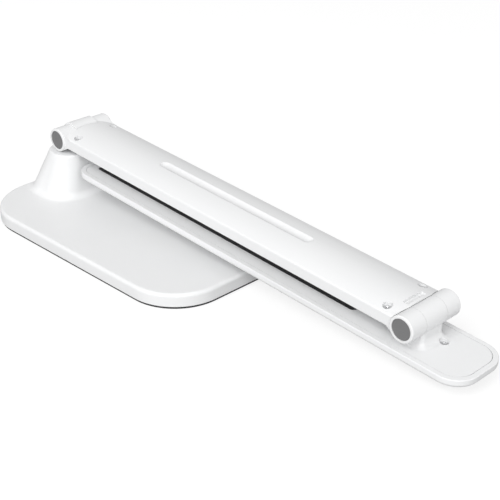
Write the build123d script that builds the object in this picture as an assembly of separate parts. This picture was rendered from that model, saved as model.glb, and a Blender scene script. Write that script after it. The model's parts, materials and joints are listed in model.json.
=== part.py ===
from build123d import *
import os

# Portable document camera, folded flat.  Millimetres.
# +X runs from the lower hinge towards the elbow, +Y to the back, +Z up.
# The origin is on the table, straight below the middle of the lower hinge axis.

# ---- base: a flat foot plate with a post ------------------------------------------
base_left = -30.5            # left edge of the plate
base_right = 172.5           # right edge of the plate
base_depth = 136.5           # front to back
base_shift = -1.6            # the plate's middle lies this far behind the hinges' middle
base_height = 10.0           # table to the plate's top face
left_corner_radius = 40.0
right_corner_radius = 34.0
base_edge_round = 2.2
base_wall = 2.2
mat_thickness = 1.6
mat_inset = 0.8
floor_thickness = 1.6        # screwed-on bottom cover
weight_thickness = 3.0
weight_margin = 3.0          # gap between the steel weight and the plate's wall
boss_radius = 3.4
boss_gap = 0.6               # free space round each boss in the weight
boss_depth = 3.4             # length of a screw's thread inside its boss
middle_boss_inset = 11.0     # boss centres, from the plate's front and rear edges
left_boss_inset = (24.0, 25.0)   # from the left edge and from the front and rear edges
right_boss_inset = (16.0, 21.0)
post_top_size = (28.0, 49.0)     # X and Y sizes of the post's top
post_foot_size = (42.5, 66.0)    # X and Y sizes of the post's foot
post_top_corner = 13.5
post_foot_corner = 16.0
post_lean = -6.75            # the foot's centre, measured from the hinge axis
post_wall = 3.0
post_foot_fillet = 5.0
post_top_round = 1.5
post_top_gap = 0.6           # hinge barrel to the post's flat top
pedestal_share = 0.75        # half width of the middle barrel's pedestal, in barrel radii
socket_x = 34.0              # USB-C socket in the rear edge
socket_size = (8.9, 7.4, 3.2)
socket_clearance = 0.25
board_size = (20.0, 15.0, 1.0)
board_standoff = 0.3
board_margin = 3.0           # free space round the board in the weight
board_foot_radius = 1.5
board_foot_inset = 2.5
socket_corner = 0.48         # corner radius, in socket heights
tongue_size = (6.6, 0.7)     # the socket's tongue
tongue_share = 0.8           # its length, in socket depths
socket_metal = 0.3
floor_screw_sink = 0.8

# ---- hinges -----------------------------------------------------------------------
hinge_height = 49.0          # lower hinge axis above the table
hinge_spacing = 300.0        # lower hinge to elbow
fold_tilt = 3.83             # degrees the folded arm drops towards the elbow
barrel_radius = 8.05
barrel_length = 42.0
barrel_round = 0.7           # at the outer ends of the barrels
middle_barrel_proud = 1.15   # the post's own barrel stands this much above its neighbours
middle_width = 18.0          # width of the middle barrel of each hinge
knuckle_gap = 0.15
bore_clearance = 0.04
shaft_radius = 2.5
shaft_head_radius = 5.0
shaft_head_thickness = 1.4
washer_radius = 5.8
washer_thickness = 0.8
nut_radius = 4.6
nut_thickness = 2.4
cap_radius = 6.4
cap_thickness = 1.2
cap_recess = 0.3
cap_clearance = 0.05
hinge_pocket_depth = 6.0     # room for nut and washers behind each cap
hinge_slack = 0.1            # axial play
shaft_thread = 0.6           # shaft showing past its nut
reach = 30.0                 # longer than any cut across a hinge

# ---- arm --------------------------------------------------------------------------
arm_width = 40.0
arm_crown = 7.9              # top face above the hinge axes' plane, at the centre line
arm_edge = 4.2               # and at the two long edges
arm_bottom = -2.8
arm_wall = 1.8
arm_edge_round = 1.3
arm_overlap = 6.0            # the arm runs this far into the lower hinge's barrels
seam_gap = 0.24
sweep_clearance = 0.7        # notch round a middle barrel
web_length = 4.95            # from the lower barrel to where its webs join the arm
under_web = 2.65             # the same on the underside
web_tangent = 0.94           # share of the barrel radius where a lower web leaves it
cavity_wall = 3.95           # solid wall of the arm before the elbow's barrel
cover_lap = 3.65             # the cover's thin edge reaches this far over the elbow's barrel
tray_lap = 1.05              # the tray runs this far into the elbow's barrels
slot_gap = 1.1               # wall between the seam and the shallow slot ahead of it
slot_size = (3.6, 16.0, 1.5)
arm_roof = 2.7               # thickness of the top
groove_start = 83.0
groove_end = hinge_spacing - 84.5
groove_width = 7.8
groove_offset = 1.1          # the groove lies just behind the centre line
groove_depth = 1.5           # a hollow with a round bottom
arm_screw_spots = (16.2, hinge_spacing - 14.6)   # along the arm
arm_screw_offset = 15.0      # either side of the centre line
tray_thickness = 1.4
tray_clearance = 0.2
tray_seat = 0.05             # play between the tray and the cover above it
stiffener_size = (hinge_spacing - 74.0, 20.0, 1.2)
stiffener_holes = 7
stiffener_hole_radius = 4.0
ribbon_size = (hinge_spacing - 54.0, 6.0, 0.5)

# ---- head -------------------------------------------------------------------------
head_start = 20.0            # end near the post
head_end = hinge_spacing + 41.9      # end past the elbow
head_width = 44.4
head_top = -13.55            # rim, below the hinge axes' plane
head_thickness = 5.0
head_left_radius = 12.0
head_right_radius = 15.1
head_wall = 1.2
head_boss_height = 1.0
head_boss_radius = 3.5
head_bottom_round = 2.2
head_rim_round = 0.5
ledge_width = 1.2            # the face plate rests on this
rim_width = 3.3
face_thickness = 1.1
face_step = 0.05             # face plate sits this much below the rim
face_clearance = 0.22
neck_length = 13.0           # X size of the neck above its flare
neck_corner = 2.0
neck_foot_fillet = 4.5
window_start = 29.0
window_end = hinge_spacing - 41.0
window_width = 19.4
window_radius = 3.0
window_thickness = 0.9
window_clearance = 0.15
window_step = 0.5
lens_x = 44.0
lens_radius = 4.2
lens_clearance = 0.1
lens_lip = 0.4               # ring that the lens glass rests on
lens_aperture = 1.9
lens_rise = 0.5              # the lens barrel stands proud of the head's face
lens_wall = 0.9
lens_glass_thickness = 0.7
glass_clearance = 0.02
glass_sink = 0.3             # the lens glass sits this much below the lens barrel's rim
glass_round = 0.5
bezel_radius = 6.4
bezel_round = 0.4
camera_board_size = (24.0, 17.0, 0.8)
sensor_size = (4.2, 4.2, 0.5)
led_board_start = 70.0
led_board_end = hinge_spacing - 50.0
led_board_width = 14.0
led_board_thickness = 0.9
led_count = 18
led_size = (3.0, 2.4, 0.4)
diffuser_thickness = 0.5
head_screw_places = [(hinge_spacing + 11.0, 5.0), (hinge_spacing - 28.0, 0.0)]
main_board_start = hinge_spacing - 48.0
main_board_end = hinge_spacing + 3.0
main_board_width = 26.0
main_board_thickness = 0.8
chip_sides = (8.0, 6.0, 9.0)
chip_places = [(hinge_spacing - 40.0, 7.0), (hinge_spacing - 17.0, -7.5), (hinge_spacing - 11.0, 7.0)]
chip_height = 0.8

# ---- screws -----------------------------------------------------------------------
screw_hole_radius = 2.8
screw_boss_radius = 4.0
screw_head_radius = 2.3
screw_head_height = 1.0
screw_shank_radius = 0.95
screw_bite = 0.05            # a thread is this much thinner than its pilot hole
screw_clearance = 0.1
cross_length = 2.6
cross_width = 0.6
cross_depth = 0.6
arm_screw_sink = 2.6         # depth of the seat below the arm's top face
head_screw_sink = 2.0        # depth of the seat below the face plate
screw_end_gap = 0.3          # a screw ends this far above the outside

lower_hinge = Pos(0, 0, hinge_height) * Rot(0, fold_tilt, 0)
elbow = lower_hinge * Pos(hinge_spacing, 0, 0)
middle_barrel_radius = barrel_radius + middle_barrel_proud
knuckle_start = middle_width / 2 + knuckle_gap
web_start = barrel_radius + web_length
tray_top = arm_bottom + tray_thickness
tray_end = hinge_spacing - barrel_radius + tray_lap
cover_end = hinge_spacing - barrel_radius + cover_lap
crown_rise = arm_crown - arm_edge
crown_radius = ((arm_width / 2) ** 2 + crown_rise ** 2) / (2 * crown_rise)
base_length = base_right - base_left
base_centre = (base_left + base_right) / 2
base_rear = base_shift + base_depth / 2
post_top = hinge_height - barrel_radius - post_top_gap
head_bottom = head_top - head_thickness
floor_top = mat_thickness + floor_thickness
socket_height = floor_top + board_standoff + board_size[2] + socket_size[2] / 2
washer_start = barrel_length / 2 - hinge_pocket_depth + hinge_slack
washer_end = washer_start + washer_thickness + hinge_slack
face_top = head_top - face_step
face_low = face_top - face_thickness
head_floor = head_bottom + head_wall
head_boss_top = head_floor + head_boss_height
window_low = face_top - window_step - window_thickness
camera_top = head_floor + camera_board_size[2]
lens_top = face_top + lens_rise - lens_clearance
glass_low = lens_top - glass_sink - lens_glass_thickness
head_centre = (head_start + head_end) / 2
head_length = head_end - head_start
boss_places = [(base_centre, base_depth / 2 - middle_boss_inset),
               (base_left + left_boss_inset[0], base_depth / 2 - left_boss_inset[1]),
               (base_right - right_boss_inset[0], base_depth / 2 - right_boss_inset[1])]
boss_places = [(x, base_shift + side * y) for x, y in boss_places for side in (1, -1)]
arm_screw_places = [(x, side * arm_screw_offset) for x in arm_screw_spots for side in (-1, 1)]


def slab(face, low, high):
    """A flat plate from one height to another, with the outline of a face on XY."""
    return Pos(0, 0, low) * extrude(face, high - low)


def block(x0, x1, y0, y1, z0, z1):
    """A box between two corners."""
    return Pos((x0 + x1) / 2, (y0 + y1) / 2, (z0 + z1) / 2) * Box(x1 - x0, y1 - y0, z1 - z0)


def along_y(radius, y0, y1, x=0.0):
    """A round bar parallel to the hinge axes."""
    return Pos(x, (y0 + y1) / 2, 0) * Rot(90, 0, 0) * Cylinder(radius, y1 - y0)


def upright(radius, z0, z1, x=0.0, y=0.0):
    """A round bar parallel to Z."""
    return Pos(x, y, (z0 + z1) / 2) * Cylinder(radius, z1 - z0)


def rounded(length, width, left_radius, right_radius, centre=0.0):
    """A rectangle whose left and right corners have their own radii."""
    face = Pos(centre, 0) * Rectangle(length, width)
    face = fillet(face.vertices().group_by(Axis.X)[0], left_radius)
    return fillet(face.vertices().group_by(Axis.X)[-1], right_radius)


def base_outline(inset=0.0):
    """The foot plate seen from above, drawn in by inset all round."""
    plate = rounded(base_length - 2 * inset, base_depth - 2 * inset,
                    left_corner_radius - inset, right_corner_radius - inset, base_centre)
    return Pos(0, base_shift) * plate


def head_outline(inset=0.0):
    """The head seen from above, drawn in by inset all round."""
    return rounded(head_length - 2 * inset, head_width - 2 * inset,
                   head_left_radius - inset, head_right_radius - inset, head_centre)


def window_outline(grow=0.0):
    """The dark window in the head's face."""
    face = Rectangle(window_end - window_start + 2 * grow, window_width + 2 * grow)
    return Pos((window_start + window_end) / 2, 0) * fillet(face.vertices(), window_radius + grow)


def post_body(inset, low, high):
    """The leaning post between two heights; its section grows towards the foot."""
    def section(height):
        share = (post_top - height) / (post_top - base_height)
        size_x = post_top_size[0] + share * (post_foot_size[0] - post_top_size[0])
        size_y = post_top_size[1] + share * (post_foot_size[1] - post_top_size[1])
        corner = post_top_corner + share * (post_foot_corner - post_top_corner)
        face = RectangleRounded(size_x - 2 * inset, size_y - 2 * inset, corner - inset)
        return Pos(share * post_lean, 0, height) * face
    return loft([section(low), section(high)])


def flat_edges(body, height, x0, x1, half):
    """The edges that lie at one height, between x0 and x1 and within half of the centre line."""
    found = []
    for edge in body.edges():
        box = edge.bounding_box()
        level = box.size.Z < 0.01 and abs(box.min.Z - height) < 0.01
        if level and box.min.X > x0 and box.max.X < x1 and abs(box.min.Y) < half:
            found.append(edge)
    return found


def screw(seat_z, end_z, x, y):
    """A pan-head cross-recess screw pointing down, its head resting at seat_z."""
    top = seat_z + screw_head_height
    body = upright(screw_head_radius, seat_z, top, x, y)
    body += upright(screw_shank_radius, end_z, seat_z, x, y)
    for turn in (0, 90):
        body -= Pos(x, y, top) * Rot(0, 0, turn) * Box(cross_length, cross_width, 2 * cross_depth)
    return body


# ---- base -------------------------------------------------------------------------
def base_mat():
    return slab(base_outline(mat_inset), 0, mat_thickness)


def base_shell():
    plate = slab(base_outline(), mat_thickness, base_height)
    plate = fillet(plate.faces().sort_by(Axis.Z)[-1].edges(), base_edge_round)
    body = plate + post_body(0, base_height - base_edge_round, post_top)
    foot_left = base_left + base_edge_round / 2
    foot = flat_edges(body, base_height, foot_left, post_foot_size[0], post_foot_size[1] / 2 + 1)
    body = fillet(foot, post_foot_fillet)
    rim = flat_edges(body, post_top, -post_top_size[0], post_top_size[0], post_top_size[1])
    body = fillet(rim, post_top_round)
    half = middle_barrel_radius * pedestal_share
    body += block(-half, half, -middle_width / 2, middle_width / 2, post_top - post_wall, hinge_height)
    barrel = along_y(middle_barrel_radius, -middle_width / 2, middle_width / 2)
    body += Pos(0, 0, hinge_height) * barrel
    body -= slab(base_outline(base_wall), 0, base_height - base_wall)
    body -= post_body(post_wall, base_height - base_wall - 1, post_top - post_wall)
    body -= Pos(0, 0, hinge_height) * along_y(shaft_radius + bore_clearance, -reach, reach)
    for x, y in boss_places:
        body += upright(boss_radius, floor_top, base_height - base_wall / 2, x, y)
        body -= upright(screw_shank_radius, floor_top, base_height - base_wall, x, y)
    mouth = Rectangle(socket_size[0] + 2 * socket_clearance, socket_size[2] + 2 * socket_clearance)
    mouth = fillet(mouth.vertices(), socket_size[2] / 2)
    mouth = Rot(90, 0, 0) * extrude(mouth, 2 * base_wall, both=True)
    return body - Pos(socket_x, base_rear, socket_height) * mouth


def base_floor():
    body = slab(base_outline(base_wall + tray_clearance), mat_thickness, floor_top)
    for x, y in boss_places:
        body -= upright(screw_head_radius + screw_clearance, mat_thickness,
                        mat_thickness + floor_screw_sink, x, y)
        body -= upright(screw_shank_radius + screw_clearance, 0, floor_top, x, y)
    return body


def base_weight():
    body = slab(base_outline(base_wall + weight_margin), floor_top, floor_top + weight_thickness)
    for x, y in boss_places:
        body -= upright(boss_radius + boss_gap, 0, base_height, x, y)
    room = board_size[0] / 2 + board_margin
    front = base_rear - base_wall - board_size[1] - 2 * board_margin
    return body - block(socket_x - room, socket_x + room, front, base_rear, 0, base_height)


def base_screws():
    solids = []
    for x, y in boss_places:
        body = upright(screw_head_radius, mat_thickness, mat_thickness + floor_screw_sink, x, y)
        shank = screw_shank_radius - screw_bite
        solids.append(body + upright(shank, mat_thickness, floor_top + boss_depth, x, y))
    return Compound(solids)


def usb_board():
    rear = base_rear - base_wall - socket_clearance
    low = floor_top + board_standoff
    body = block(socket_x - board_size[0] / 2, socket_x + board_size[0] / 2,
                 rear - board_size[1], rear, low, low + board_size[2])
    foot_x = board_size[0] / 2 - board_foot_inset
    for x in (socket_x - foot_x, socket_x + foot_x):
        for y in (rear - board_size[1] + board_foot_inset, rear - board_foot_inset):
            body += upright(board_foot_radius, floor_top, low, x, y)
    return body


def usb_socket():
    length, depth, height = socket_size
    hollow = (length - 2 * socket_metal, height - 2 * socket_metal)
    outer = fillet(Rectangle(length, height).vertices(), socket_corner * height)
    inner = fillet(Rectangle(*hollow).vertices(), socket_corner * hollow[1])
    shell = extrude(outer, depth) - Pos(0, 0, 2 * socket_metal) * extrude(inner, depth)
    tongue = Pos(0, 0, socket_metal) * extrude(Rectangle(*tongue_size), tongue_share * depth)
    rear = base_rear - base_wall / 4
    return Pos(socket_x, rear - depth, socket_height) * Rot(-90, 0, 0) * (shell + tongue)


# ---- hinge hardware, in a frame whose origin is the middle of the hinge -------------
def hinge_shaft():
    body = along_y(shaft_radius, -washer_end, washer_end + nut_thickness + shaft_thread)
    return body + along_y(shaft_head_radius, -washer_end - shaft_head_thickness, -washer_end)


def hinge_washers():
    solids = []
    for y in (-washer_start - washer_thickness, washer_start):
        ring = along_y(washer_radius, y, y + washer_thickness)
        solids.append(ring - along_y(shaft_radius + bore_clearance, -reach, reach))
    return Compound(solids)


def hinge_nut():
    hexagon = Plane.XZ * RegularPolygon(nut_radius, 6)
    body = Pos(0, washer_end + nut_thickness, 0) * extrude(hexagon, nut_thickness)
    return body - along_y(shaft_radius + bore_clearance, -reach, reach)


def hinge_caps():
    end = barrel_length / 2 - cap_recess
    radius = cap_radius - cap_clearance
    return Compound([along_y(radius, end - cap_thickness, end),
                     along_y(radius, -end, -end + cap_thickness)])


def outer_barrels(x):
    """The two outer knuckles of a hinge, before they are bored."""
    back = along_y(barrel_radius, knuckle_start, barrel_length / 2, x)
    front = along_y(barrel_radius, -barrel_length / 2, -knuckle_start, x)
    back = fillet(back.edges().group_by(Axis.Y)[-1], barrel_round)
    return back, fillet(front.edges().group_by(Axis.Y)[0], barrel_round)


def hinge_bores(x):
    """What is cut from both outer knuckles: the shaft's bore and the pockets."""
    pocket = barrel_length / 2 - hinge_pocket_depth
    cuts = along_y(shaft_radius + bore_clearance, -reach, reach, x)
    cuts += along_y(cap_radius, pocket, reach, x)
    return cuts + along_y(cap_radius, -reach, -pocket, x)


def webs(face):
    """A web on the front and on the back knuckle, from its face on XZ."""
    depth = arm_width / 2 - knuckle_start
    web = extrude(face, depth, dir=(0, 1, 0))
    return Pos(0, knuckle_start, 0) * web, Pos(0, -arm_width / 2, 0) * web


def upper_web():
    """The lower hinge's web above its axis: one arc, tangent to the barrel and to the arm."""
    radius = (web_start ** 2 + arm_edge ** 2 - barrel_radius ** 2) / (2 * (barrel_radius - arm_edge))
    share = barrel_radius / (barrel_radius + radius)
    start = (share * web_start, share * (arm_edge + radius))
    lines = TangentArc((web_start, arm_edge), start, tangent=(-1, 0))
    lines += Polyline(start, (0, 0), (web_start, 0), (web_start, arm_edge))
    return Plane.XZ * make_face(lines)


def under_web_face(x, side):
    """A web below a hinge at x, on the arm's side of it: a straight slope from the barrel."""
    drop = web_tangent * barrel_radius
    lean = (barrel_radius ** 2 - drop ** 2) ** 0.5
    corners = [(0, arm_bottom), (0, -drop), (lean, -drop), (barrel_radius + under_web, arm_bottom)]
    return Plane.XZ * Polygon(*[(x + side * a, b) for a, b in corners], align=None)


# ---- arm, in a frame whose origin is the middle of the lower hinge -------------------
def arm_height(y):
    """The crowned top face above the hinge axes' plane."""
    return arm_crown - crown_radius + (crown_radius ** 2 - y ** 2) ** 0.5


def arm_body(wall, roof, low, x0, x1):
    """The arm's section from x0 to x1, drawn in by wall at its sides and by roof at its top."""
    half = arm_width / 2 - wall
    edge = arm_edge - roof
    lines = Polyline((half, edge), (half, low), (-half, low), (-half, edge))
    lines += ThreePointArc((-half, edge), (0, arm_crown - roof), (half, edge))
    return Pos(x0, 0, 0) * extrude(Plane.YZ * make_face(lines), x1 - x0, dir=(1, 0, 0))


def groove():
    """The long round-bottomed hollow on top of the arm, with round ends."""
    radius = ((groove_width / 2) ** 2 + groove_depth ** 2) / (2 * groove_depth)
    x0 = groove_start + groove_width / 2
    x1 = groove_end - groove_width / 2
    bar = Rot(0, 90, 0) * Cylinder(radius, x1 - x0)
    tool = Pos((x0 + x1) / 2, 0) * bar + Pos(x0, 0) * Sphere(radius) + Pos(x1, 0) * Sphere(radius)
    return Pos(0, groove_offset, arm_crown - groove_depth + radius) * tool


def arm_cover():
    body = arm_body(0, 0, arm_bottom, barrel_radius - arm_overlap, cover_end)
    body = fillet(body.edges().filter_by(Axis.X).group_by(Axis.Z)[-1], arm_edge_round)
    cavity_end = hinge_spacing - barrel_radius - cavity_wall
    body -= arm_body(arm_wall, arm_roof, arm_bottom - 1, web_start, cavity_end)
    rebate = arm_width / 2 - arm_wall
    body -= block(web_start, hinge_spacing, -rebate, rebate, arm_bottom - 1, tray_top + tray_seat)
    for piece in outer_barrels(0) + webs(upper_web()) + webs(under_web_face(0, 1)):
        body += piece
    body -= hinge_bores(0)
    body -= along_y(middle_barrel_radius + sweep_clearance, -knuckle_start, knuckle_start)
    # the elbow end follows the barrel, with a shallow slot ahead of it
    body -= along_y(barrel_radius + seam_gap, -reach, reach, hinge_spacing)
    slot_floor = arm_crown - slot_size[2]
    seam = hinge_spacing - ((barrel_radius + seam_gap) ** 2 - slot_floor ** 2) ** 0.5
    slot_end = seam - slot_gap
    body -= block(slot_end - slot_size[0], slot_end, -slot_size[1] / 2, slot_size[1] / 2,
                  slot_floor, arm_crown + 1)
    body -= groove()
    seat = arm_height(arm_screw_offset) - arm_screw_sink
    for x, y in arm_screw_places:
        body += upright(screw_boss_radius, tray_top + tray_seat, seat, x, y)
        body -= upright(screw_hole_radius, seat, arm_crown + 1, x, y)
        body -= upright(screw_shank_radius + screw_clearance, arm_bottom - 1, arm_crown, x, y)
    return body


def arm_tray():
    half = arm_width / 2 - arm_wall - tray_clearance
    body = block(web_start + tray_clearance, tray_end, -half, half, arm_bottom, tray_top)
    for x, y in arm_screw_places:
        body -= upright(screw_shank_radius + screw_clearance, arm_bottom - 1, tray_top + 1, x, y)
    for piece in outer_barrels(hinge_spacing) + webs(under_web_face(hinge_spacing, -1)):
        body += piece
    body -= hinge_bores(hinge_spacing)
    middle = along_y(barrel_radius + sweep_clearance, -knuckle_start, knuckle_start, hinge_spacing)
    return body - middle


def arm_stiffener():
    length, width, thickness = stiffener_size
    middle = hinge_spacing / 2
    body = block(middle - length / 2, middle + length / 2, -width / 2, width / 2,
                 tray_top, tray_top + thickness)
    pitch = length / (stiffener_holes + 1)
    for index in range(stiffener_holes):
        x = middle - length / 2 + pitch * (index + 1)
        body -= upright(stiffener_hole_radius, tray_top - 1, tray_top + thickness + 1, x)
    return body


def arm_ribbon():
    length, width, thickness = ribbon_size
    low = tray_top + stiffener_size[2]
    middle = hinge_spacing / 2
    return block(middle - length / 2, middle + length / 2, -width / 2, width / 2, low, low + thickness)


def arm_screws():
    seat = arm_height(arm_screw_offset) - arm_screw_sink
    return Compound([screw(seat, arm_bottom + screw_end_gap, x, y) for x, y in arm_screw_places])


# ---- head, in the same frame as the arm ---------------------------------------------
def head_shell():
    body = slab(head_outline(), head_bottom, head_top)
    body = fillet(body.faces().sort_by(Axis.Z)[0].edges(), head_bottom_round)
    body = fillet(body.faces().sort_by(Axis.Z)[-1].edges(), head_rim_round)
    body -= slab(head_outline(rim_width), face_low, head_top + 1)
    body -= slab(head_outline(rim_width + ledge_width), head_floor, head_top + 1)
    for x, y in head_screw_places:
        body += upright(head_boss_radius, head_floor - head_wall / 4, head_boss_top, x, y)
        body -= upright(screw_shank_radius, head_floor, head_boss_top + 1, x, y)
    return body


def head_face():
    body = slab(head_outline(rim_width + face_clearance), face_low, face_top)
    section = Pos(hinge_spacing, 0) * RectangleRounded(neck_length, middle_width, neck_corner)
    body += slab(section, face_low, -barrel_radius / 2)
    foot = flat_edges(body, face_top, hinge_spacing - neck_length, hinge_spacing + neck_length,
                      middle_width)
    body = fillet(foot, neck_foot_fillet)
    body += along_y(barrel_radius, -middle_width / 2, middle_width / 2, hinge_spacing)
    body -= along_y(shaft_radius + bore_clearance, -reach, reach, hinge_spacing)
    body -= slab(window_outline(window_clearance), face_low - 1, face_top + 1)
    seat = face_top - head_screw_sink
    for x, y in head_screw_places:
        body += upright(screw_boss_radius, head_boss_top + tray_seat, face_low + face_clearance, x, y)
        body -= upright(screw_hole_radius, seat, head_top + neck_foot_fillet, x, y)
        body -= upright(screw_shank_radius + screw_clearance, head_boss_top - 1, face_top, x, y)
    return body


def head_window():
    body = slab(window_outline(), window_low, window_low + window_thickness)
    return body - upright(lens_radius + lens_clearance, head_floor, 0, lens_x)


def lens_bezel():
    top = window_low + window_thickness
    body = upright(bezel_radius, top, face_top + lens_rise, lens_x)
    body = fillet(body.edges().group_by(Axis.Z)[-1], bezel_round)
    return body - upright(lens_radius + lens_clearance, head_floor, 0, lens_x)


def lens_barrel():
    inner = lens_radius - lens_wall
    body = upright(lens_radius, camera_top, lens_top, lens_x)
    body -= upright(inner, head_floor, 0, lens_x)
    lip = upright(inner + lens_clearance, glass_low - lens_lip, glass_low, lens_x)
    return body + (lip - upright(lens_aperture, head_floor, 0, lens_x))


def lens_glass():
    radius = lens_radius - lens_wall - glass_clearance
    body = upright(radius, glass_low, glass_low + lens_glass_thickness, lens_x)
    return fillet(body.edges().group_by(Axis.Z)[-1], glass_round)


def camera_board():
    length, width, thickness = camera_board_size
    return block(lens_x - length / 2, lens_x + length / 2, -width / 2, width / 2,
                 head_floor, head_floor + thickness)


def image_sensor():
    length, width, thickness = sensor_size
    return block(lens_x - length / 2, lens_x + length / 2, -width / 2, width / 2,
                 camera_top, camera_top + thickness)


def led_board():
    return block(led_board_start, led_board_end, -led_board_width / 2, led_board_width / 2,
                 head_floor, head_floor + led_board_thickness)


def led_chips():
    low = head_floor + led_board_thickness
    pitch = (led_board_end - led_board_start) / led_count
    solids = []
    for index in range(led_count):
        x = led_board_start + pitch * (index + 0.5)
        solids.append(Pos(x, 0, low + led_size[2] / 2) * Box(*led_size))
    return Compound(solids)


def light_diffuser():
    return block(led_board_start, led_board_end, -led_board_width / 2, led_board_width / 2,
                 window_low - diffuser_thickness, window_low)


def main_board():
    body = block(main_board_start, main_board_end, -main_board_width / 2, main_board_width / 2,
                 head_floor, head_floor + main_board_thickness)
    for x, y in head_screw_places:
        body -= upright(screw_boss_radius + boss_gap, head_floor - 1, 0, x, y)
    return body


def main_chips():
    low = head_floor + main_board_thickness
    return Compound([block(x - side / 2, x + side / 2, y - side / 2, y + side / 2,
                           low, low + chip_height) for (x, y), side in zip(chip_places, chip_sides)])


def head_screws():
    seat = face_top - head_screw_sink
    low = head_floor + screw_end_gap
    return Compound([screw(seat, low, x, y) for x, y in head_screw_places])


def export(name, shape):
    """Write one node, as its solids."""
    solids = shape.solids()
    shape = solids[0] if len(solids) == 1 else Compound(list(solids))
    shape.label = name
    export_step(shape, "parts/" + name + ".step")
    print(name, len(solids), round(shape.volume, 1))


nodes = {
    "base_mat": base_mat(), "base_shell": base_shell(), "base_floor": base_floor(),
    "base_weight": base_weight(), "base_screws": base_screws(), "usb_board": usb_board(),
    "usb_socket": usb_socket(),
    "lower_hinge_shaft": lower_hinge * hinge_shaft(),
    "lower_hinge_washers": lower_hinge * hinge_washers(),
    "lower_hinge_nut": lower_hinge * hinge_nut(),
    "lower_hinge_caps": lower_hinge * hinge_caps(),
    "elbow_hinge_shaft": elbow * hinge_shaft(),
    "elbow_hinge_washers": elbow * hinge_washers(),
    "elbow_hinge_nut": elbow * hinge_nut(),
    "elbow_hinge_caps": elbow * hinge_caps(),
}
for build in (arm_cover, arm_tray, arm_stiffener, arm_ribbon, arm_screws, head_shell, head_face,
              head_window, lens_bezel, lens_barrel, lens_glass, camera_board, image_sensor,
              led_board, led_chips, light_diffuser, main_board, main_chips, head_screws):
    nodes[build.__name__] = lower_hinge * build()

os.makedirs("parts", exist_ok=True)
for name, shape in nodes.items():
    export(name, shape)
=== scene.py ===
import json
import math

import bmesh
import bpy
from mathutils import Matrix, Vector


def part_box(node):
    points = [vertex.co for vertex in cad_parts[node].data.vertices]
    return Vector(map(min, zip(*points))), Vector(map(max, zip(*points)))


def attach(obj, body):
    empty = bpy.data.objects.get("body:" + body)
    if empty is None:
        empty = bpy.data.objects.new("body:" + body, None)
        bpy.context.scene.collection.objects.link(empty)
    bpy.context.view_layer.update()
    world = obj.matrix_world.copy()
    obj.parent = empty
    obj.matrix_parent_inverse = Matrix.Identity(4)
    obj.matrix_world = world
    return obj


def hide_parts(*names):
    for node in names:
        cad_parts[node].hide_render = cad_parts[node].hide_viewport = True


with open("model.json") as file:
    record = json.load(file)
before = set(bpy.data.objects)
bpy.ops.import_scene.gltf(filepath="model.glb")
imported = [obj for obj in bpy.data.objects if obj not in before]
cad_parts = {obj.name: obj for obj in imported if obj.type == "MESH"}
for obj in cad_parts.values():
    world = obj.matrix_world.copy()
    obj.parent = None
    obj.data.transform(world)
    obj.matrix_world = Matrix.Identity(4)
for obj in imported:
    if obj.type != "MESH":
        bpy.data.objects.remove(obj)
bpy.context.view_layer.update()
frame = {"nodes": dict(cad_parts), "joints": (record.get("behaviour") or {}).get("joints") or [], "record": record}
nodes = frame["nodes"]
scene = bpy.context.scene

# ---- settings, in metres ----------------------------------------------------------
SHARP_ANGLE = math.radians(28)
EDGE_SOFTNESS = 0.0003       # how far the shading rounds a moulded edge
GRAIN = 2600.0               # noise scale of a fine moulding texture, about 0.4 mm
SCREW_RADIUS = 0.0023
SCREW_HEIGHT = 0.001
SCREW_DOME = 0.00032         # how much the head falls away towards its rim
SCREW_TURNS = 22             # rings of points on the head
SCREW_SEGMENTS = 64
CROSS_HALF_WIDTH = 0.00034
CROSS_HALF_LENGTH = 0.00135
CROSS_CORE = 0.00062         # radius of the round middle of the recess
CROSS_DEPTH = 0.00062
CAP_THICKNESS = 0.0012
CAP_DISH = 0.00012
CAP_BEVEL = 0.00035
LATHE_SEGMENTS = 96
LENS_SEGMENTS = 64

CAMERA_TARGET = Vector((0.155206, 0.010143, 0.011152))
CAMERA_AZIMUTH = math.radians(45.393)
CAMERA_ELEVATION = math.radians(27.625)
CAMERA_DISTANCE = 0.725409
CAMERA_LENS = 83.325
CAMERA_SENSOR = 36.0

FLOOR_HALF = 40.0
FLOOR_DROP = 0.0002
WORLD_LIGHT = 0.56


# ---- the arm's own frame: origin on the lower hinge, x along the arm, z out of its top
def joint_place(name):
    """Where a joint's axis lies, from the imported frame."""
    for joint in frame["joints"]:
        if joint["name"] == name:
            return Vector(joint["pos_m"])
    raise ValueError(name)


hinge = joint_place("arm_lift")
elbow = joint_place("head_tilt")
along = (elbow - hinge).normalized()
across = Vector((0, 1, 0))
ARM = Matrix((along, across, along.cross(across))).transposed().to_4x4()
ARM.translation = hinge


def local_box(name):
    """The lowest and highest corners of a CAD node in the arm's frame."""
    back = ARM.inverted()
    points = [back @ v.co for v in nodes[name].data.vertices]
    low = Vector([min(p[i] for p in points) for i in range(3)])
    high = Vector([max(p[i] for p in points) for i in range(3)])
    return low, high


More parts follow.
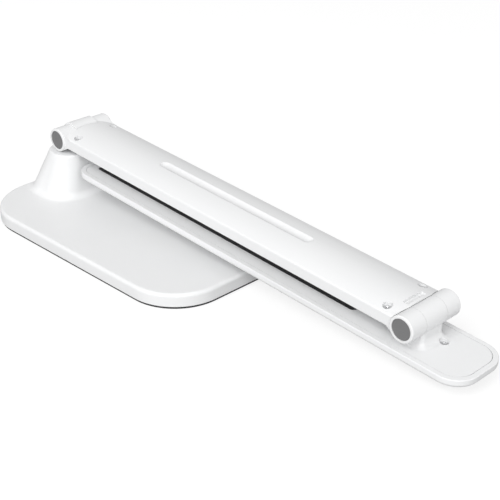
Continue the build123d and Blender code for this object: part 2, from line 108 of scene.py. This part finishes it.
# ---- node graphs ------------------------------------------------------------------
class Graph:
    """Builds a material's nodes, with object coordinates in metres."""

    def __init__(self, name, colour, roughness, **constants):
        self.material = bpy.data.materials.new(name)
        self.material.use_nodes = True
        self.tree = self.material.node_tree
        self.shader = self.tree.nodes["Principled BSDF"]
        self.shader.inputs["Base Color"].default_value = (*colour, 1)
        self.shader.inputs["Roughness"].default_value = roughness
        for key, value in constants.items():
            self.shader.inputs[key.replace("_", " ")].default_value = value
        self.coords = self.add("ShaderNodeTexCoord").outputs["Object"]
        self.normal = None

    def add(self, kind, **values):
        node = self.tree.nodes.new(kind)
        for key, value in values.items():
            setattr(node, key, value)
        return node

    def join(self, output, target):
        self.tree.links.new(output, target)

    def stretched(self, scale):
        """The object coordinates scaled differently along each axis."""
        node = self.add("ShaderNodeMapping")
        node.inputs["Scale"].default_value = scale
        self.join(self.coords, node.inputs["Vector"])
        return node.outputs["Vector"]

    def noise(self, scale, detail=3.0, rough=0.5, coords=None):
        node = self.add("ShaderNodeTexNoise")
        node.inputs["Scale"].default_value = scale
        node.inputs["Detail"].default_value = detail
        node.inputs["Roughness"].default_value = rough
        self.join(coords or self.coords, node.inputs["Vector"])
        return node.outputs["Fac"]

    def cells(self, scale, feature="F1", coords=None):
        node = self.add("ShaderNodeTexVoronoi", feature=feature)
        node.inputs["Scale"].default_value = scale
        self.join(coords or self.coords, node.inputs["Vector"])
        return node.outputs["Distance"]

    def waves(self, scale, direction, coords=None):
        node = self.add("ShaderNodeTexWave", bands_direction=direction)
        node.inputs["Scale"].default_value = scale
        node.inputs["Distortion"].default_value = 0.0
        self.join(coords or self.coords, node.inputs["Vector"])
        return node.outputs["Fac"]

    def spread(self, value, low, high, from_low=0.3, from_high=0.7):
        """A pattern's value mapped to a range."""
        node = self.add("ShaderNodeMapRange")
        node.inputs["From Min"].default_value = from_low
        node.inputs["From Max"].default_value = from_high
        node.inputs["To Min"].default_value = low
        node.inputs["To Max"].default_value = high
        self.join(value, node.inputs["Value"])
        return node.outputs["Result"]

    def blend_colours(self, value, first, second):
        """A colour between two, by a pattern's value."""
        node = self.add("ShaderNodeMix", data_type="RGBA")
        sockets = {s.name: s for s in node.inputs if s.type == "RGBA"}
        sockets["A"].default_value = (*first, 1)
        sockets["B"].default_value = (*second, 1)
        self.join(value, node.inputs["Factor"])
        return next(s for s in node.outputs if s.type == "RGBA")

    def colour(self, value, first, second):
        self.join(self.blend_colours(value, first, second), self.shader.inputs["Base Color"])

    def colour_over(self, under, value, over):
        """A second colour laid over the first one, by a pattern's value."""
        node = self.add("ShaderNodeMix", data_type="RGBA")
        sockets = {s.name: s for s in node.inputs if s.type == "RGBA"}
        self.join(under, sockets["A"])
        sockets["B"].default_value = (*over, 1)
        self.join(value, node.inputs["Factor"])
        result = next(s for s in node.outputs if s.type == "RGBA")
        self.join(result, self.shader.inputs["Base Color"])

    def roughness(self, value):
        self.join(value, self.shader.inputs["Roughness"])

    def soft_edges(self, radius=EDGE_SOFTNESS):
        node = self.add("ShaderNodeBevel", samples=4)
        node.inputs["Radius"].default_value = radius
        self.normal = node.outputs["Normal"]
        self.join(self.normal, self.shader.inputs["Normal"])

    def bump(self, height, distance, strength=1.0):
        """A bump laid on top of the ones before it."""
        node = self.add("ShaderNodeBump")
        node.inputs["Distance"].default_value = distance
        node.inputs["Strength"].default_value = strength
        self.join(height, node.inputs["Height"])
        if self.normal is not None:
            self.join(self.normal, node.inputs["Normal"])
        self.normal = node.outputs["Normal"]
        self.join(self.normal, self.shader.inputs["Normal"])


# ---- materials, one function for each slot of the record ---------------------------
def white_shell():
    """Satin white ABS: fine moulding grain, faint flow marks, a little handling shine."""
    g = Graph("white_shell", (0.76, 0.765, 0.77), 0.42, IOR=1.5, Specular_IOR_Level=0.45)
    tone = g.blend_colours(g.noise(14, 2), (0.752, 0.757, 0.764), (0.775, 0.778, 0.780))
    g.colour_over(tone, g.spread(g.noise(900, 1), 0.0, 0.06, 0.62, 0.8), (0.66, 0.66, 0.65))
    g.roughness(g.spread(g.noise(55, 4, 0.6), 0.36, 0.48))
    g.soft_edges()
    g.bump(g.noise(GRAIN, 2), 0.000008)
    g.bump(g.noise(30, 1), 0.00002)
    return g.material


def grey_cap():
    """Mid-grey plastic with a fine spark-eroded grain."""
    g = Graph("grey_cap", (0.22, 0.22, 0.22), 0.5, IOR=1.5)
    tone = g.blend_colours(g.noise(3200, 2, 0.7), (0.135, 0.135, 0.137), (0.195, 0.195, 0.197))
    g.colour_over(tone, g.spread(g.cells(2100), 0.25, 0.0, 0.0, 0.35), (0.10, 0.10, 0.102))
    g.roughness(g.spread(g.noise(1500, 2), 0.42, 0.62))
    g.soft_edges(0.0002)
    g.bump(g.cells(2300), 0.00003)
    return g.material


def rubber():
    """Black anti-slip rubber, with a close moulded waffle and dust in it."""
    g = Graph("rubber", (0.03, 0.03, 0.031), 0.75, Specular_IOR_Level=0.35)
    tone = g.blend_colours(g.noise(40, 4, 0.6), (0.021, 0.021, 0.022), (0.038, 0.038, 0.039))
    g.colour_over(tone, g.spread(g.noise(1700, 3, 0.7), 0.0, 0.35, 0.6, 0.8), (0.10, 0.10, 0.098))
    g.roughness(g.spread(g.noise(300, 3), 0.66, 0.86))
    g.soft_edges()
    g.bump(g.waves(130, "X"), 0.0001)
    g.bump(g.waves(130, "Y"), 0.0001)
    g.bump(g.noise(1900, 3), 0.00004)
    return g.material


def dark_plastic():
    """Black glass-filled plastic with an etched grain."""
    g = Graph("dark_plastic", (0.02, 0.02, 0.021), 0.5)
    g.colour(g.noise(700, 3, 0.6), (0.014, 0.014, 0.015), (0.028, 0.028, 0.029))
    g.roughness(g.spread(g.noise(200, 3), 0.4, 0.6))
    g.soft_edges(0.0002)
    g.bump(g.noise(2200, 2), 0.00002)
    return g.material


def dark_window():
    """Smoked acrylic: glossy, with the faint ripple of a moulded panel and fine haze."""
    g = Graph("dark_window", (0.016, 0.016, 0.018), 0.12, Coat_Weight=0.35, Coat_Roughness=0.05)
    g.colour(g.noise(25, 2), (0.014, 0.014, 0.016), (0.021, 0.021, 0.024))
    g.roughness(g.spread(g.noise(90, 4, 0.65), 0.10, 0.22))
    g.bump(g.noise(35, 1), 0.00003)
    return g.material


def plated(name, colour, low, high, stretch):
    """Plated steel with turned or drawn marks along one direction and a few dull spots."""
    g = Graph(name, colour, low, Metallic=1.0)
    dull = tuple(0.8 * c for c in colour)
    lines = g.stretched(stretch)
    g.colour(g.noise(120, 4, 0.6), dull, colour)
    g.roughness(g.spread(g.noise(900, 3, 0.6, lines), low, high))
    g.bump(g.noise(1400, 2, 0.5, lines), 0.000012)
    return g.material


def steel():
    return plated("steel", (0.50, 0.50, 0.51), 0.34, 0.55, (1.0, 0.08, 1.0))


def bright_steel():
    return plated("bright_steel", (0.66, 0.66, 0.67), 0.18, 0.36, (1.0, 1.0, 0.15))


def circuit_board():
    """Green solder mask over copper traces, with the glass weave showing faintly."""
    g = Graph("circuit_board", (0.02, 0.13, 0.06), 0.35, Coat_Weight=0.2, Coat_Roughness=0.2)
    tone = g.blend_colours(g.noise(150, 2), (0.014, 0.105, 0.045), (0.024, 0.15, 0.07))
    traces = g.spread(g.cells(420, "DISTANCE_TO_EDGE"), 0.8, 0.0, 0.02, 0.06)
    g.colour_over(tone, traces, (0.07, 0.26, 0.10))
    g.roughness(g.spread(g.noise(600, 2), 0.28, 0.44))
    g.bump(traces, 0.00003)
    g.bump(g.waves(900, "X"), 0.000006)
    return g.material


def lens_glass():
    """Coated lens glass: dark, clear and faintly violet, with a trace of dust."""
    g = Graph("lens_glass", (0.03, 0.03, 0.05), 0.03, IOR=1.6, Coat_Weight=1.0, Coat_Roughness=0.01)
    g.shader.inputs["Coat Tint"].default_value = (0.75, 0.7, 1.0, 1)
    g.colour(g.noise(500, 2), (0.012, 0.010, 0.03), (0.03, 0.024, 0.06))
    g.roughness(g.spread(g.noise(2500, 3, 0.7), 0.02, 0.07, 0.5, 0.8))
    g.bump(g.noise(200, 1), 0.000002)
    return g.material


def led():
    """Phosphor resin in a white frame."""
    g = Graph("led", (0.85, 0.72, 0.25), 0.3, Subsurface_Weight=0.1)
    g.colour(g.noise(1800, 3), (0.80, 0.66, 0.20), (0.90, 0.80, 0.38))
    g.roughness(g.spread(g.noise(900, 2), 0.22, 0.4))
    g.bump(g.noise(2500, 2), 0.00002)
    return g.material


def diffuser():
    """Frosted light guide."""
    g = Graph("diffuser", (0.8, 0.8, 0.8), 0.55, Subsurface_Weight=0.15)
    g.colour(g.noise(300, 3), (0.76, 0.77, 0.77), (0.84, 0.84, 0.83))
    g.roughness(g.spread(g.noise(1400, 3), 0.45, 0.7))
    g.bump(g.cells(1500), 0.00003)
    return g.material


def ribbon_cable():
    """Amber polyimide with parallel conductors."""
    g = Graph("ribbon_cable", (0.55, 0.25, 0.05), 0.3)
    lines = g.waves(320, "Y")
    g.colour(lines, (0.42, 0.17, 0.03), (0.66, 0.36, 0.10))
    g.roughness(g.spread(g.noise(400, 3), 0.22, 0.42))
    g.bump(lines, 0.00006)
    return g.material


makers = (white_shell, grey_cap, rubber, dark_plastic, dark_window, steel, bright_steel,
          circuit_board, lens_glass, led, diffuser, ribbon_cable)
looks = {make.__name__: make() for make in makers}


# ---- meshes ------------------------------------------------------------------------
def finish_piece(name, mesh, slot, body, replaced):
    """Links a new mesh as a piece: the slot's material, a place on the body, and the CAD node it stands for
    hidden.
    """
    mesh.materials.append(looks[slot])
    mesh.shade_smooth()
    mesh.set_sharp_from_angle(angle=SHARP_ANGLE)
    piece = bpy.data.objects.new(name, mesh)
    scene.collection.objects.link(piece)
    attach(piece, body)
    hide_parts(replaced)
    return piece


def circle(radius, height, segments, shift=0.0):
    """Points of a level circle; the first lies shift steps round from the x axis."""
    turns = [2 * math.pi * (i + shift) / segments for i in range(segments)]
    return [Vector((radius * math.cos(t), radius * math.sin(t), height)) for t in turns]


def lathe(bm, profile, place, segments=LATHE_SEGMENTS):
    """Turns (radius, height) points about the z axis of place; both ends close on the axis."""
    rings = []
    for radius, height in profile:
        if radius == 0:
            rings.append([bm.verts.new(place @ Vector((0, 0, height)))])
            continue
        rings.append([bm.verts.new(place @ p) for p in circle(radius, height, segments)])
    skin(bm, rings, segments)


def skin(bm, rings, segments):
    """Faces between neighbouring rings; a ring of one point is a pole."""
    for lower, upper in zip(rings, rings[1:]):
        for i in range(segments):
            j = (i + 1) % segments
            if len(lower) == 1:
                bm.faces.new((lower[0], upper[i], upper[j]))
            elif len(upper) == 1:
                bm.faces.new((lower[i], upper[0], lower[j]))
            else:
                bm.faces.new((lower[i], upper[i], upper[j], lower[j]))


def to_mesh(bm, name):
    bmesh.ops.recalc_face_normals(bm, faces=bm.faces)
    mesh = bpy.data.meshes.new(name)
    bm.to_mesh(mesh)
    bm.free()
    return mesh


def arc(centre_r, centre_z, radius, start, end, steps):
    """Profile points on a quarter or part of a circle, angles in degrees."""
    angles = [math.radians(start + (end - start) * k / steps) for k in range(steps + 1)]
    return [(centre_r + radius * math.cos(a), centre_z + radius * math.sin(a)) for a in angles]


def hinge_caps(node, centre):
    """Both press-in caps of a hinge: a bevelled disc with a very slight dish."""
    low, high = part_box(node)
    radius = (high[0] - low[0]) / 2
    rim = arc(radius - CAP_BEVEL, -CAP_BEVEL, CAP_BEVEL, 0, 90, 6)
    inside = [(radius * k / 8, -CAP_DISH * (1 - (k / 8) ** 2)) for k in range(7, 0, -1)]
    profile = [(0, -CAP_THICKNESS), (radius - CAP_BEVEL, -CAP_THICKNESS),
               (radius, CAP_BEVEL - CAP_THICKNESS)]
    profile += rim + inside + [(0, -CAP_DISH)]
    bm = bmesh.new()
    for y, turn in ((low[1], 90), (high[1], -90)):
        place = Matrix.Translation((centre.x, y, centre.z)) @ Matrix.Rotation(math.radians(turn), 4, "X")
        lathe(bm, profile, place)
    name = node + "_discs"
    return finish_piece(name, to_mesh(bm, name), "grey_cap", "arm", node)


def ramp(inside, width, level):
    """0 to 1 over a width, at the given level where inside is zero."""
    return max(0.0, min(1.0, inside / width + level))


def cross_depth(x, y):
    """Depth of a tapered cross recess at a point of the screw's head."""
    short, long = sorted((abs(x), abs(y)))
    side = ramp(CROSS_HALF_WIDTH - short, 0.00012, 0.5)
    end = ramp(CROSS_HALF_LENGTH - long, 0.0004, 0.3)
    core = ramp(CROSS_CORE - math.hypot(x, y), 0.0002, 0.5)
    return CROSS_DEPTH * max(side * end, core * end)


def screw(bm, place, length):
    """A pan-head screw with a cross recess; place has its z axis out of the head."""
    rings = [[bm.verts.new(place @ Vector((0, 0, SCREW_HEIGHT - cross_depth(0, 0))))]]
    for k in range(1, SCREW_TURNS + 1):
        share = k / SCREW_TURNS
        points = circle(SCREW_RADIUS * 0.93 * k / SCREW_TURNS, 0.0, SCREW_SEGMENTS, 0.5)
        for point in points:
            point.z = SCREW_HEIGHT - SCREW_DOME * share ** 2 - cross_depth(point.x, point.y)
        rings.append([bm.verts.new(place @ point) for point in points])
    shank = SCREW_RADIUS * 0.41
    thread = [(shank * (1.0 if k % 2 else 0.82), -length * (k + 1) / 14) for k in range(12)]
    side = [(SCREW_RADIUS, SCREW_HEIGHT * 0.52), (SCREW_RADIUS, 0.00008), (SCREW_RADIUS * 0.97, 0.0),
            (shank, 0.0)] + thread
    for radius, height in side:
        points = circle(radius, height, SCREW_SEGMENTS, 0.5)
        rings.append([bm.verts.new(place @ point) for point in points])
    rings.append([bm.verts.new(place @ Vector((0, 0, -length)))])
    skin(bm, rings, SCREW_SEGMENTS)


def screws(node, spots, turns, body):
    """All the screws of a CAD node, at their (x, y) spots in the arm's frame."""
    low, high = local_box(node)
    seat = high.z - SCREW_HEIGHT
    bm = bmesh.new()
    for (x, y), turn in zip(spots, turns):
        place = ARM @ Matrix.Translation((x, y, seat)) @ Matrix.Rotation(math.radians(turn), 4, "Z")
        screw(bm, place, seat - low.z)
    name = node + "_set"
    return finish_piece(name, to_mesh(bm, name), "bright_steel", body, node)


def lens():
    """The front element: a shallow polished dome."""
    low, high = local_box("lens_glass")
    radius = (high.x - low.x) / 2
    place = ARM @ Matrix.Translation(((low.x + high.x) / 2, (low.y + high.y) / 2, low.z))
    height = high.z - low.z
    dome = [(radius * math.sin(a), height * (0.35 + 0.65 * math.cos(a)))
            for a in (math.radians(90 * k / 14) for k in range(13, 0, -1))]
    profile = [(0, 0), (radius * 0.97, 0), (radius, height * 0.1), (radius, height * 0.35)]
    bm = bmesh.new()
    lathe(bm, profile + dome + [(0, height)], place, LENS_SEGMENTS)
    return finish_piece("lens_element", to_mesh(bm, "lens_element"), "lens_glass", "head", "lens_glass")


hinge_caps("lower_hinge_caps", hinge)
hinge_caps("elbow_hinge_caps", elbow)
low, high = local_box("arm_screws")
spots = [(x, y) for x in (low.x + SCREW_RADIUS, high.x - SCREW_RADIUS)
         for y in (low.y + SCREW_RADIUS, high.y - SCREW_RADIUS)]
screws("arm_screws", spots, (17, 62, 38, 5), "arm")
low, high = local_box("head_screws")
spots = [(low.x + SCREW_RADIUS, low.y + SCREW_RADIUS), (high.x - SCREW_RADIUS, high.y - SCREW_RADIUS)]
screws("head_screws", spots, (28, 71), "head")
lens()

for part in frame["record"]["subparts"]:
    node = nodes[part["node"]]
    node.data.materials.clear()
    node.data.materials.append(looks[part["material_slot"]])
    node.data.shade_smooth()
    node.data.set_sharp_from_angle(angle=SHARP_ANGLE)


# ---- floor, light and camera --------------------------------------------------------
def pale_floor():
    mesh = bpy.data.meshes.new("floor")
    half = FLOOR_HALF
    corners = [(-half, -half, 0), (half, -half, 0), (half, half, 0), (-half, half, 0)]
    mesh.from_pydata(corners, [], [(0, 1, 2, 3)])
    floor = bpy.data.objects.new("floor", mesh)
    floor.location.z = -FLOOR_DROP
    scene.collection.objects.link(floor)
    mesh.materials.append(floor_material())


def floor_material():
    """Matt pale paper; the camera sees it white and even, other rays see plain matt grey."""
    g = Graph("floor", (0.9, 0.9, 0.9), 0.95, Specular_IOR_Level=0.0, Emission_Strength=0.75)
    g.shader.inputs["Emission Color"].default_value = (1, 1, 1, 1)
    g.colour(g.noise(3, 2), (0.27, 0.27, 0.27), (0.29, 0.29, 0.29))
    matt = g.add("ShaderNodeBsdfDiffuse")
    matt.inputs["Color"].default_value = (0.45, 0.45, 0.45, 1)
    path = g.add("ShaderNodeLightPath")
    mix = g.add("ShaderNodeMixShader")
    g.join(path.outputs["Is Camera Ray"], mix.inputs["Fac"])
    g.join(matt.outputs["BSDF"], mix.inputs[1])
    g.join(g.shader.outputs["BSDF"], mix.inputs[2])
    g.join(mix.outputs["Shader"], g.tree.nodes["Material Output"].inputs["Surface"])
    return g.material


def area_light(name, place, size, power):
    light = bpy.data.lights.new(name, "AREA")
    light.size = size
    light.energy = power
    lamp = bpy.data.objects.new(name, light)
    scene.collection.objects.link(lamp)
    lamp.location = place
    aim = CAMERA_TARGET - Vector(place)
    lamp.rotation_euler = aim.to_track_quat("-Z", "Y").to_euler()


def studio():
    world = bpy.data.worlds.new("studio")
    scene.world = world
    world.use_nodes = True
    background = world.node_tree.nodes["Background"]
    background.inputs["Color"].default_value = (1, 1, 1, 1)
    background.inputs["Strength"].default_value = WORLD_LIGHT
    area_light("key", (0.5, -2.0, 1.8), 1.5, 42)
    area_light("fill", (2.0, -1.2, 1.1), 1.2, 24)
    scene.view_settings.view_transform = "Standard"


def camera():
    flat = math.cos(CAMERA_ELEVATION)
    back = Vector((math.sin(CAMERA_AZIMUTH) * flat, -math.cos(CAMERA_AZIMUTH) * flat,
                   math.sin(CAMERA_ELEVATION)))
    cam = bpy.data.objects.new("camera", bpy.data.cameras.new("camera"))
    scene.collection.objects.link(cam)
    cam.location = CAMERA_TARGET + back * CAMERA_DISTANCE
    cam.rotation_euler = (-back).to_track_quat("-Z", "Y").to_euler()
    cam.data.lens = CAMERA_LENS
    cam.data.sensor_width = CAMERA_SENSOR
    cam.data.clip_start = 0.01
    scene.camera = cam


pale_floor()
studio()
camera()
